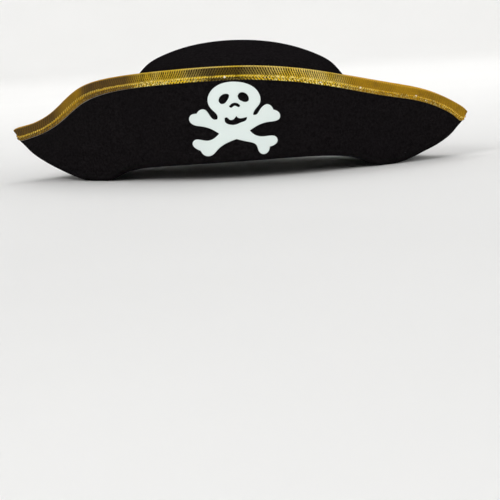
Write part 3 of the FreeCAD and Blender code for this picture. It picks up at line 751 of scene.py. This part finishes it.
def make_braid():
    """The woven braid folded over the whole edge, and the short stitches along its ridge."""
    s = stations(0.45, 1.6)
    room = braid_room(s)
    for _ in range(3):
        room = (np.roll(room, 1) + room + np.roll(room, -1)) / 3
    x, _ = wall(s)
    wider, narrower = 0.2 * np.exp(-((x + 120) / 26) ** 2), 0.1 * np.exp(-((x - 126) / 20) ** 2)
    room = room * (1 + wider - narrower)
    ruffle = 0.12 * np.sin(s / 1.9) * np.sin(s / 13.0)
    rows, uv = [], []
    for out, depth, v in braid_section():
        loose = ruffle * smooth_step(5.5, 9.5, depth) * (1 if out > 0.1 else 0)
        rows.append(down_from_edge(s, depth * (room if depth > 1.1 else 1), out + loose))
        uv.append(np.stack([s, np.full(len(s), v)], 1))
    columns = len(s) + 1  # the first station again, so that u runs on to the end
    rows = [np.vstack([row, row[:1]]) for row in rows + rows[:1]]
    uv = [np.vstack([row, [[ROUND, row[0][1]]]]) for row in uv + [uv[0]]]
    piece = mesh_piece("gold_braid_trim", np.vstack(rows), grid_faces(len(rows), columns, False), braid_gold,
                       uv=np.vstack(uv), node="gold_braid")
    weld = piece.modifiers.new("join", "WELD")
    weld.merge_threshold = 0.00001

    paths = []
    rng = np.random.default_rng(7)
    for start in np.arange(6.0, ROUND - 2, 1.9):
        if np.interp(start, s, room) < 0.98:  # no stitches where the braid is short of room
            continue
        t = np.linspace(0, 1, 6)
        length, lean = 1.5 + rng.uniform(-0.25, 0.25), 0.9 + rng.uniform(-0.2, 0.2)
        depth = 7.45 - length * t
        along = start + lean * (t - 0.5)
        height = 0.68 + 0.55 * np.sin(math.pi * np.clip(t * 0.8 + 0.1, 0, 1))
        paths.append(down_from_edge(along, depth, height))
    points, faces, uv = tubes(paths, 0.27)
    mesh_piece("braid_stitches", points, faces, gold_thread, uv=uv, node="braid_thread")


# ---- the emblem -----------------------------------------------------------------------------------

# Outlines as (x, height) about the emblem's own middle, in smooth stretches that meet at corners.
SKULL = [
    [(-12.4, 0.2), (-12, 1.6), (-16.2, 7.7), (-18.4, 14), (-14.4, 21.4), (-5.5, 25.6), (3, 25.8),
     (12, 23.2), (18, 17.4), (18.6, 10), (13.9, 4), (13.3, 2.1)],
    [(13.3, 2.1), (15.2, 1.9), (18, 4.8), (20.8, 7.8), (23.8, 8.8), (26.4, 7.3), (27.8, 4.7)],
    [(27.8, 4.7), (30.8, 3.3), (32.2, 0.7), (31.6, -1.8), (28.5, -3.3), (23.2, -3.7), (16.6, -5.4),
     (10.3, -8.8)],
    [(10.3, -8.8), (13.4, -11.8), (19.3, -13.5), (25.2, -13.3), (28.5, -14.4), (29.4, -17.3), (27.2, -19.9),
     (23.8, -21)],
    [(23.8, -21), (22.6, -24.3), (19.1, -26), (16.2, -24.2), (14.5, -19.4), (8.4, -16.5), (0.6, -14.3)],
    [(0.6, -14.3), (-5.6, -16.4), (-13, -20.9), (-16.7, -24.4), (-20.5, -25.4), (-23.8, -23.9),
     (-25.4, -21.4)],
    [(-25.4, -21.4), (-29.4, -19.1), (-30.9, -16.2), (-29.4, -13.8), (-26, -13.5), (-20, -14.5),
     (-15.2, -12.9), (-11.6, -9.9)],
    [(-11.6, -9.9), (-16.4, -6.8), (-24, -4.3), (-30.2, -2.6), (-32.5, 0.6), (-31.3, 3.8), (-27, 4.8)],
    [(-27, 4.8), (-24.9, 7), (-21.6, 7.6), (-18.3, 4.3), (-14.6, 0.1), (-12.4, 0.2)],
]
LEFT_EYE = [[(-10.6, 13.0), (-9.9, 15.2), (-7.8, 17.1), (-4.9, 17.8), (-2.9, 17.0), (-3.2, 14.9),
             (-4.8, 12.5), (-6.9, 10.9), (-9.3, 11.1), (-10.6, 13.0)]]
RIGHT_EYE = [[(3.3, 15.9), (4.8, 17.9), (7.4, 18.1), (9.8, 16.7), (11.0, 14.3), (10.7, 12.1), (8.8, 11.3),
              (6.1, 12.0), (3.9, 13.7), (3.3, 15.9)]]
NOSE = [[(-3.4, 8.9), (-1.0, 10.8), (1.0, 11.2), (2.9, 10.7), (4.7, 9.1)],
        [(4.7, 9.1), (3.7, 8.0), (0.9, 9.1), (-2.1, 7.8), (-3.4, 8.9)]]
MOUTH = [[(-7.0, 0.9), (-5.3, 1.2), (-3.5, -0.5), (-1, -0.5), (1.4, 1.9)],
         [(1.4, 1.9), (2.7, 0.5), (5, 0.1), (8.8, 0.8)],
         [(8.8, 0.8), (8.6, -0.8), (4.6, -2.8), (0.7, -4.1), (-3.2, -4.0), (-6.9, -1.9), (-7.0, 0.9)]]


def make_emblem():
    """The skull and crossbones, cut with rounded edges and bent to the front flap."""
    curve = bpy.data.curves.new("emblem_outline", "CURVE")
    curve.dimensions, curve.fill_mode = "2D", "BOTH"
    for outline in (SKULL, LEFT_EYE, RIGHT_EYE, NOSE, MOUTH):
        points = np.vstack([through(stretch) for stretch in outline])
        run = curve.splines.new("POLY")
        run.points.add(len(points) - 1)
        for point, (x, z) in zip(run.points, points):
            point.co = (x, z, 0, 1)
        run.use_cyclic_u = True
    rounding = 0.42
    curve.extrude, curve.bevel_depth, curve.bevel_resolution, curve.offset = 0.12, rounding, 3, -rounding
    holder = bpy.data.objects.new("emblem_outline", curve)
    bpy.context.scene.collection.objects.link(holder)
    bpy.context.view_layer.update()
    flat = bpy.data.meshes.new_from_object(holder.evaluated_get(bpy.context.evaluated_depsgraph_get()))
    bpy.data.objects.remove(holder)
    work = bmesh.new()
    work.from_mesh(flat)
    bmesh.ops.remove_doubles(work, verts=work.verts, dist=0.002)
    for axis, step in (((1, 0, 0), 2.0), ((0, 1, 0), 4.0)):
        for k in np.arange(-34, 34, step):
            bmesh.ops.bisect_plane(work, geom=work.verts[:] + work.edges[:] + work.faces[:], dist=0.0005,
                                   plane_co=Vector(axis) * float(k + 0.013), plane_no=axis)
    bmesh.ops.triangulate(work, faces=[f for f in work.faces if len(f.verts) > 4])
    points = []
    work.verts.index_update()
    narrowing, off_felt = 0.99, 0.56
    for v in work.verts:
        x, z, height = narrowing * v.co.x + EMBLEM_X, v.co.y + EMBLEM_Z, v.co.z + off_felt
        turn = math.asin(x / FLAP_RADIUS)
        radius = FLAP_RADIUS + height
        points.append((radius * math.sin(turn), -radius * math.cos(turn), z))
    faces = [tuple(v.index for v in f.verts) for f in work.faces]
    work.free()
    bpy.data.meshes.remove(flat)
    piece = mesh_piece("skull_crossbones", np.array(points), faces, white, node="skull_crossbones_emblem",
                       flip=True)
    piece.data.set_sharp_from_angle(angle=math.radians(48))


# ---- the tacks ------------------------------------------------------------------------------------

def make_tacks():
    """Plied black threads, three to a tack, each a little slack."""
    for place in ("front_tack_left", "front_tack_right", "back_tack_left", "back_tack_right",
                  "horn_tack_left", "horn_tack_right"):
        low, high = (np.array(corner) * 1000 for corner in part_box(place))
        x = (low[0] + high[0]) / 2
        paths = []
        for k in range(3):
            z = low[2] + 0.3 + 1.6 * k
            t = np.linspace(0, 1, 9)
            y = low[1] - 0.5 + (high[1] - low[1] + 1.0) * t
            sag = (0.35 + 0.2 * k) * np.sin(math.pi * t)
            line = np.stack([x + 0.25 * math.sin(2.1 * k) * np.sin(math.pi * t), y, z - sag], 1)
            paths += twisted(line, 0.16, 1.3)
        points, faces, uv = tubes(paths, 0.19)
        mesh_piece(place + "_threads", points, faces, black_thread, uv=uv, node=place)


# ---- stage, light and camera ----------------------------------------------------------------------

def make_stage():
    """A plain pale floor that curves up all round into a plain wall."""
    flat = 2.4
    profile = [(0.3, 0), (0.9, 0), (1.8, 0), (flat, 0)]
    profile += [(flat + math.sin(a), 1 - math.cos(a)) for a in np.linspace(0.1, math.pi / 2, 14)]
    profile += [(flat + 1, 2.0), (flat + 1, 4.2)]
    columns = 96
    turn = np.linspace(0, 2 * math.pi, columns, endpoint=False)
    mesh = bpy.data.meshes.new("floor")
    points = [(r * math.cos(a), r * math.sin(a), z) for r, z in profile for a in turn] + [(0, 0, 0)]
    faces = grid_faces(len(profile), columns)
    faces += [((j + 1) % columns, j, len(points) - 1) for j in range(columns)]
    mesh.from_pydata(points, [], [tuple(reversed(face)) for face in faces])
    mesh.polygons.foreach_set("use_smooth", [True] * len(mesh.polygons))
    mesh.materials.append(floor_look())
    floor = bpy.data.objects.new("floor", mesh)
    bpy.context.scene.collection.objects.link(floor)


def soft_light(name, place, target, size, power):
    """A rectangular lamp that faces the target, in metres and watts."""
    data = bpy.data.lights.new(name, "AREA")
    data.shape, data.size, data.size_y = "RECTANGLE", size[0], size[1]
    data.energy = power
    light = bpy.data.objects.new(name, data)
    light.location = place
    light.rotation_euler = (Vector(target) - Vector(place)).to_track_quat("-Z", "Y").to_euler()
    bpy.context.scene.collection.objects.link(light)


def make_lights():
    soft_light("key", (-1.2, -1.9, 1.3), (0, 0, 0.04), (1.1, 1.1), 25)
    soft_light("fill", (1.7, -1.35, 0.9), (0, 0, 0.04), (1.2, 1.2), 12)
    soft_light("back", (0.5, 1.9, 1.8), (0, 0, 0.06), (1.4, 0.9), 8)
    soft_light("above", (0, 0, 2.6), (0, 0, 0), (2.2, 2.2), 3)
    soft_light("backdrop", (0, 0.9, 2.2), (0, 3.3, 0.5), (2.6, 0.8), 33)
    world = bpy.data.worlds.new("studio")
    world.use_nodes = True
    background = next(n for n in world.node_tree.nodes if n.type == "BACKGROUND")
    background.inputs["Color"].default_value = (0.93, 0.95, 1.0, 1)
    background.inputs["Strength"].default_value = 0.5
    bpy.context.scene.world = world
    bpy.context.scene.view_settings.view_transform = "Standard"


def make_camera():
    """A long lens in front of the hat, a little above it, that looks down and is rolled by a few degrees."""
    down, roll = math.radians(6.769), math.radians(3.3)
    ahead = Vector((0, math.cos(down), -math.sin(down)))
    level_up = Vector((0, math.sin(down), math.cos(down)))
    right = Vector((1, 0, 0)) * math.cos(roll) - level_up * math.sin(roll)
    up = Vector((1, 0, 0)) * math.sin(roll) + level_up * math.cos(roll)
    data = bpy.data.cameras.new("camera")
    data.lens, data.sensor_width = 153.33, 36
    camera = bpy.data.objects.new("camera", data)
    place = (0.000696, -1.59781, 0.127205)
    turn = Matrix((right, up, -ahead)).transposed().to_4x4()
    camera.matrix_world = Matrix.Translation(place) @ turn
    bpy.context.scene.collection.objects.link(camera)
    bpy.context.scene.camera = camera


make_brim()
make_crown()
make_sweatband()
make_head_seam()
make_braid()
make_emblem()
make_tacks()
make_stage()
make_lights()
make_camera()
